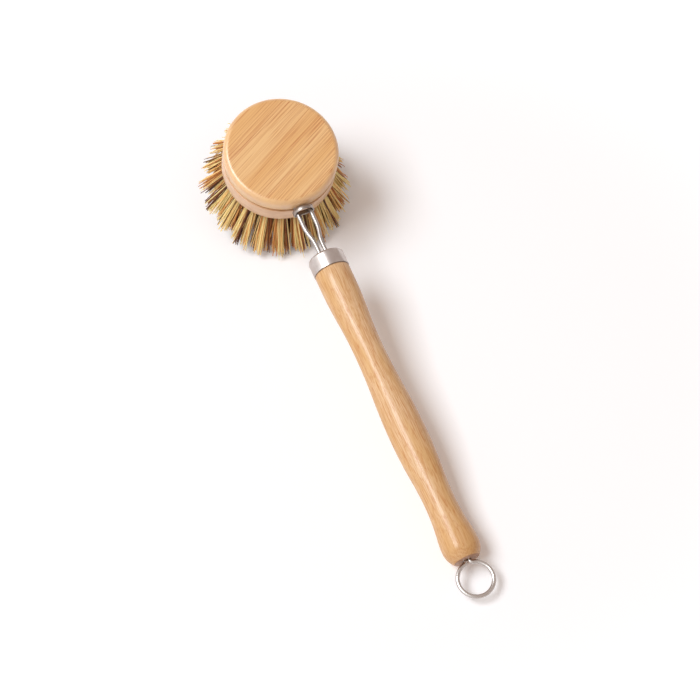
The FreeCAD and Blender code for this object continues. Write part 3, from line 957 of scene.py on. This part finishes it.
def tuft_places(brush):
    """Each tuft's node, its turn, how far out its root and tips lie, and half the tips' room."""
    head, tuft = brush.head, brush.tuft
    rows = len(TUFT_ROWS)
    outer_row = head.diameter / 2 - head.hole_rim - head.hole_diameter / 2
    tip_reach = head.diameter / 2 + tuft.tip_flare + tuft.gap / 2
    root_pitch = outer_row / rows
    # Half of the centre tuft takes up half a pitch
    tip_pitch = tip_reach / (rows + 1 / 2)
    half_width = (tip_pitch - tuft.gap) / 2
    for number, (row, count) in enumerate(TUFT_ROWS):
        step = rows - number
        wedge = pi / count
        room = tip_pitch * step * sin(wedge) - tuft.gap / 2
        breadth = sqrt(room**2 - (half_width * sin(wedge)) ** 2) / cos(wedge)
        reach = root_pitch * step, tip_pitch * step
        for place in range(count):
            node = f"tuft_{row}_{place + 1:02d}"
            yield TuftPlace(node, 2 * wedge * place, *reach, half_width, breadth)
    yield TuftPlace("tuft_centre", 0, 0, 0, half_width, half_width)


class DISHBRUSH_OT_head_block(BrushOperator, bpy.types.Operator):
    """Turn the bamboo head and drill its tuft holes"""

    bl_idname = "dish_brush.head_block"
    bl_label = "Head"

    def drill(self, brush):
        """All the holes as one piece to cut away."""
        head = brush.head
        cutters = []
        for spot in tuft_places(brush):
            out = (spot.root * cos(spot.turn), spot.root * sin(spot.turn))
            cutter = added(
                bpy.ops.mesh.primitive_cylinder_add,
                vertices=HOLE_SIDES,
                radius=head.hole_diameter / 2,
                depth=2 * head.hole_depth,
                location=(*out, -head.flange_drop),
            )
            cutters.append(cutter)
        deselect_all()
        for cutter in cutters:
            cutter.select_set(True)
        bpy.context.view_layer.objects.active = cutters[0]
        bpy.ops.object.join()
        return bpy.context.object

    def make(self, brush):
        head = brush.head
        side = head.diameter / 2
        floor = side - head.groove_depth
        groove = brush.wire.diameter / 2 + head.ring_clearance
        corners = [
            (0, -head.flange_drop),
            (side - head.flange_edge_radius, -head.flange_drop),
            (side, head.flange_edge_radius - head.flange_drop),
            (side, -groove),
            (floor, -groove),
            (floor, groove),
            (side, groove),
            (side, head.rise - head.top_edge_radius),
            (side - head.top_edge_radius, head.rise),
            (0, head.rise),
        ]
        arcs = {1: ("start", FLANGE_EDGE_STEPS), 7: ("end", TOP_EDGE_STEPS)}
        outline = [Vector((point.x, 0, point.y)) for point in outline_points(corners, arcs)]
        piece = turned("bamboo_head", outline, UP, HEAD_SIDES, head.groove_lip, segments=3)
        drill = self.drill(brush)
        modify(piece, "BOOLEAN", operation="DIFFERENCE", object=drill, solver="EXACT")
        bpy.data.objects.remove(drill)
        place = head_place()
        grain = place @ Matrix.Rotation(head.grain_turn, 4, "Z")
        top = head.rise, head.top_edge_radius
        finish = head_finish("lacquered_cane_head", grain, brush.colours, *top)
        dress(piece, place, finish, "bamboo", "head", "head_block")


# One fibre's sides, its segments from root to tip, and how thick it still is at the tip
FIBRE_SIDES, FIBRE_SEGMENTS, FIBRE_TIP = 5, 6, 0.7


def fibre_model(sides, segments, tip_share):
    """One straight fibre of unit length and radius, modelled once: its corners and faces."""
    model = added(bpy.ops.mesh.primitive_circle_add, vertices=sides, radius=1, fill_type="NGON")
    select_mesh()
    for _ in range(segments):
        bpy.ops.mesh.extrude_region_move(TRANSFORM_OT_translate={"value": (0, 0, 1 / segments)})
    bpy.ops.transform.resize(value=(tip_share, tip_share, 1))
    select_mesh()
    bpy.ops.mesh.normals_make_consistent(inside=False)
    bpy.ops.object.mode_set(mode="OBJECT")
    corners = [corner.co.copy() for corner in model.data.vertices]
    faces = [tuple(face.vertices) for face in model.data.polygons]
    bpy.data.objects.remove(model)
    return corners, faces


# Fibres: even places on a disc, kinds of strand with the share up to each kind and its tones
# (dark, reddish, straw), and what differs from tuft to tuft and from fibre to fibre
GOLDEN_TURN = pi * (3 - sqrt(5))
TURN_STRAY = 0.4
STRAND_KINDS = ((0.17, (-0.05, 0.16)), (0.37, (0.2, 0.46)), (1, (0.66, 1.15)))
TUFT_TONE, FIBRE_TONE = 0.06, 0.15
FIBRE_WIDTHS = (0.65, 1.3)
LOOSE_SHARE, LOOSE_STRAY = 0.06, 2.6
RAGGED_LIMIT = 3
GUIDE_AT, GUIDE_PULL = 0.4, 0.3
SWAY_MM = 0.25


class DISHBRUSH_OT_tufts(BrushOperator, bpy.types.Operator):
    """Fill every hole with a tuft of loose plant fibres"""

    bl_idname = "dish_brush.tufts"
    bl_label = "Tufts"

    def disc_place(self, number, count, draw):
        """Even places on a disc of radius 1."""
        out = sqrt((number + 0.5) / count)
        turn = number * GOLDEN_TURN + draw.uniform(-TURN_STRAY, TURN_STRAY)
        return Vector((out * cos(turn), out * sin(turn)))

    def strand_tone(self, draw):
        """Some strands are dark, some are reddish, and most are straw."""
        kind = draw.random()
        return draw.uniform(*next(tones for limit, tones in STRAND_KINDS if kind < limit))

    def fibre_line(self, brush, draw, place, strand, spot):
        """Root, guide and tip of one fibre, in the tuft's own frame, and the sway between them."""
        head, tuft = brush.head, brush.tuft
        stray = tuft.stray * (LOOSE_STRAY if draw.random() < LOOSE_SHARE else 1)
        short = min(abs(draw.gauss(0, tuft.ragged)), RAGGED_LIMIT * tuft.ragged)
        start = Vector((spot.root, 0, tuft.root_depth - head.flange_drop))
        start += (place * tuft.root_radius).to_3d()
        u, v = place.lerp(strand, tuft.gather) * tuft.spread
        end = Vector(
            (
                spot.tip + spot.half_width * u + draw.gauss(0, stray),
                spot.breadth * v + draw.gauss(0, stray),
                -head.flange_drop - tuft.bristle_length + (short + tuft.fibre_diameter),
            )
        )
        guide = start.lerp(end, GUIDE_AT)
        guide.x += (start.x - guide.x) * GUIDE_PULL
        guide.y += (start.y - guide.y) * GUIDE_PULL
        sway = Vector((draw.gauss(0, SWAY_MM), draw.gauss(0, SWAY_MM), 0)) * MM
        return start, guide, end, sway

    def tuft_mesh(self, brush, name, model, spot):
        corners, faces = model
        tuft = brush.tuft
        draw = random.Random(name)
        spin = Matrix.Rotation(spot.turn, 3, "Z")
        strands = [self.disc_place(number, tuft.strands, draw) for number in range(tuft.strands)]
        shade = draw.uniform(-TUFT_TONE, TUFT_TONE)
        strand_tones = [self.strand_tone(draw) + shade for _ in strands]
        vertices, polygons, tones = [], [], []
        for number in range(tuft.fibres):
            place = self.disc_place(number, tuft.fibres, draw)
            nearest = min(range(tuft.strands), key=lambda choice: (strands[choice] - place).length)
            start, guide, end, sway = self.fibre_line(brush, draw, place, strands[nearest], spot)
            radius = tuft.fibre_diameter / 2 * draw.uniform(*FIBRE_WIDTHS)
            tone = strand_tones[nearest] + draw.uniform(-FIBRE_TONE, FIBRE_TONE)
            chord = (end - start).normalized()
            side = chord.orthogonal().normalized()
            other = chord.cross(side)
            first = len(vertices)
            for corner in corners:
                t = corner.z
                middle = start * (1 - t) ** 2 + guide * (2 * t * (1 - t)) + end * t**2
                middle += sway * sin(pi * t)
                point = spin @ (middle + (other * corner.y - side * corner.x) * radius)
                point.y *= 1 - tuft.narrowing * t**2
                vertices.append(point)
                tones.append((t, tone))
            polygons += [[first + corner for corner in face] for face in faces]
        mesh = bpy.data.meshes.new(name)
        mesh.from_pydata(vertices, [], polygons)
        layer = mesh.uv_layers.new(name="fibre")
        for loop in mesh.loops:
            layer.data[loop.index].uv = tones[loop.vertex_index]
        return mesh

    def make(self, brush):
        model = fibre_model(FIBRE_SIDES, FIBRE_SEGMENTS, FIBRE_TIP)
        finish = fibre_finish("dry_plant_fibre", brush.colours)
        place = head_place()
        for spot in tuft_places(brush):
            name = f"fibre_{spot.node}"
            piece = bpy.data.objects.new(name, self.tuft_mesh(brush, name, model, spot))
            bpy.context.scene.collection.objects.link(piece)
            dress(piece, place, finish, "fibre", "head", spot.node)


class DISHBRUSH_OT_staples(BrushOperator, bpy.types.Operator):
    """Give the staples in the tuft holes their steel"""

    bl_idname = "dish_brush.staples"
    bl_label = "Staples"

    def make(self, brush):
        staples = frame["nodes"]["tuft_staples"]
        staples.data.materials.clear()
        tones = brush.colours.steel, brush.colours.dull_steel
        finish = wire_finish("staple_steel", head_place(), *tones, roughness=0.2)
        staples.data.materials.append(finish)


class DISHBRUSH_OT_hanging_loop(BrushOperator, bpy.types.Operator):
    """Bend the hanging loop in the butt"""

    bl_idname = "dish_brush.hanging_loop"
    bl_label = "Hanging loop"

    def make(self, brush):
        handle, loop, colours = brush.handle, brush.loop, brush.colours
        butt = butt_station(handle)
        radius = (loop.diameter - loop.wire_diameter) / 2
        tail = (loop.wire_diameter + loop.tail_gap) / 2
        reach, offset = radius + loop.neck_radius, tail + loop.neck_radius
        neck_start = butt + loop.stand_off
        centre = neck_start + sqrt(reach**2 - offset**2)
        swing = acos(offset / reach)
        start = Vector((neck_start, tail, 0))
        neck = bend_points(start, ALONG, ACROSS, loop.neck_radius, swing, LOOP_NECK_STEPS)
        half = [Vector((butt - loop.tail_depth, tail, 0)), start, *neck]
        first = pi - asin(offset / reach)
        ring = [ALONG * centre + point for point in ring_points(radius, first, -first, LOOP_STEPS)]
        piece = bent_wire("bent_hanging_loop", half, ring, loop.wire_diameter)
        place = handle_place(handle)
        tones = colours.loop_steel, colours.steel
        finish = wire_finish("bright_loop_steel", place, *tones, roughness=0.22)
        dress(piece, place, finish, "steel", "loop", "hanging_loop")


# How squarely metal faces the room's bright side, from its far side to full brightness
BRIGHT_RANGE = (0.4, 0.85)
# Heights of view at which the dark horizon ends
HORIZON_RANGE = (0.02, 0.17)
WHITE = (1, 1, 1, 1)
CAMERA_NEAR = 10 * MM


class DISHBRUSH_OT_stage(BrushOperator, bpy.types.Operator):
    """Set up the floor, the light and the camera"""

    bl_idname = "dish_brush.stage"
    bl_label = "Stage"

    def lay_floor(self, brush):
        stage, colours = brush.stage, brush.colours
        floor = added(bpy.ops.mesh.primitive_plane_add, size=stage.floor_size)
        floor.name = "floor"
        material, finish = new_finish("pale_floor")
        path = finish.node("LightPath", output="Is Camera Ray")
        seen = path + path.part("Is Glossy Ray") + path.part("Is Transmission Ray")
        matt = finish.node("BsdfDiffuse", {"Color": colours.floor})
        objects = finish.node("TexCoord", output="Object")
        away = finish.node("VectorMath", {0: objects}, output=1, operation="LENGTH")
        lift = finish.ramped(away, stage.floor_near, stage.floor_far) + stage.floor_lift
        glow = finish.node("Emission", {"Color": seen * lift, "Strength": 1})
        surface = finish.node("AddShader", {0: matt, 1: glow})
        finish.node("OutputMaterial", {"Surface": surface})
        floor.data.materials.append(material)

    def light_world(self, brush):
        """White to the camera; metal shows a bright side, a darker far side and the horizon."""
        stage, colours = brush.stage, brush.colours
        world = bpy.data.worlds.new("studio")
        bpy.context.scene.world = world
        world.use_nodes = True
        finish = Finish(world.node_tree)

        def background(tone, strength=1):
            return finish.node("Background", {"Color": tone, "Strength": strength})

        towards = finish.node("TexCoord", output="Generated")
        bright = Vector(stage.bright_direction).normalized()
        both = {0: towards, 1: bright}
        facing = finish.node("VectorMath", both, output=1, operation="DOT_PRODUCT")
        height = finish.node("SeparateXYZ", {0: towards}).part(2)
        shine = (*[stage.bright_level] * 3, 1)
        room = finish.mixed(finish.ramped(facing, *BRIGHT_RANGE), colours.far_side, shine)
        room = finish.mixed(finish.ramped(height, *HORIZON_RANGE), colours.horizon, room)
        path = finish.node("LightPath", output="Is Camera Ray")
        glossy, clear = path.part("Is Glossy Ray"), path + path.part("Is Transmission Ray")
        soft = background(colours.ambient, stage.ambient_level)
        lit = finish.node("MixShader", {0: glossy, 1: soft, 2: background(room)})
        seen = finish.node("MixShader", {0: clear, 1: lit, 2: background(WHITE)})
        finish.node("OutputWorld", {"Surface": seen})

    def light_key(self, brush):
        stage = brush.stage
        towards = Vector(stage.key_direction).normalized()
        key = added(bpy.ops.object.light_add, type="AREA", location=towards * stage.key_distance)
        key.name = "key_light"
        key.rotation_euler = towards.to_track_quat("Z", "Y").to_euler()
        key.data.energy = stage.key_power
        key.data.color = brush.colours.key[:3]
        key.data.shape = "RECTANGLE"
        key.data.size = stage.key_width
        key.data.size_y = stage.key_height

    def set_camera(self, brush):
        stage = brush.stage
        level = cos(stage.elevation)
        ahead, aside = -cos(stage.azimuth) * level, sin(stage.azimuth) * level
        back = Vector((aside, ahead, sin(stage.elevation)))
        location = Vector(stage.target) + back * stage.distance
        camera = added(bpy.ops.object.camera_add, location=location)
        aim = back.to_track_quat("Z", "Y").to_matrix()
        camera.rotation_euler = (aim @ Matrix.Rotation(stage.roll, 3, "Z")).to_euler()
        camera.data.angle = stage.field
        camera.data.clip_start = CAMERA_NEAR
        bpy.context.scene.camera = camera

    def make(self, brush):
        bpy.context.scene.view_settings.view_transform = "Standard"
        self.lay_floor(brush)
        self.light_world(brush)
        self.light_key(brush)
        self.set_camera(brush)


# Operators, in the order in which they are run
PIECES = BrushOperator.__subclasses__()


class DISHBRUSH_PT_panel(bpy.types.Panel):
    """Lists the brush's pieces and the sizes that they follow"""

    bl_idname = "DISHBRUSH_PT_panel"
    bl_label = "Dish Brush"
    bl_space_type = "VIEW_3D"
    bl_region_type = "UI"
    bl_category = "Dish Brush"

    def draw(self, context):
        column = self.layout.column(align=True)
        for piece in PIECES:
            column.operator(piece.bl_idname)
        brush = context.scene.dish_brush
        for group in BrushSettings.__annotations__:
            box = self.layout.box()
            box.label(text=group.title())
            chosen = getattr(brush, group)
            for name in chosen.__annotations__:
                box.prop(chosen, name)


CLASSES = (*GROUPS, *PIECES, DISHBRUSH_PT_panel)


def register():
    for cls in CLASSES:
        bpy.utils.register_class(cls)
    bpy.types.Scene.dish_brush = PointerProperty(type=BrushSettings)


def unregister():
    del bpy.types.Scene.dish_brush
    for cls in reversed(CLASSES):
        bpy.utils.unregister_class(cls)


def main():
    register()
    for piece in PIECES:
        name = piece.bl_idname.split(".")[1]
        getattr(bpy.ops.dish_brush, name)()


if __name__ == "__main__":
    main()
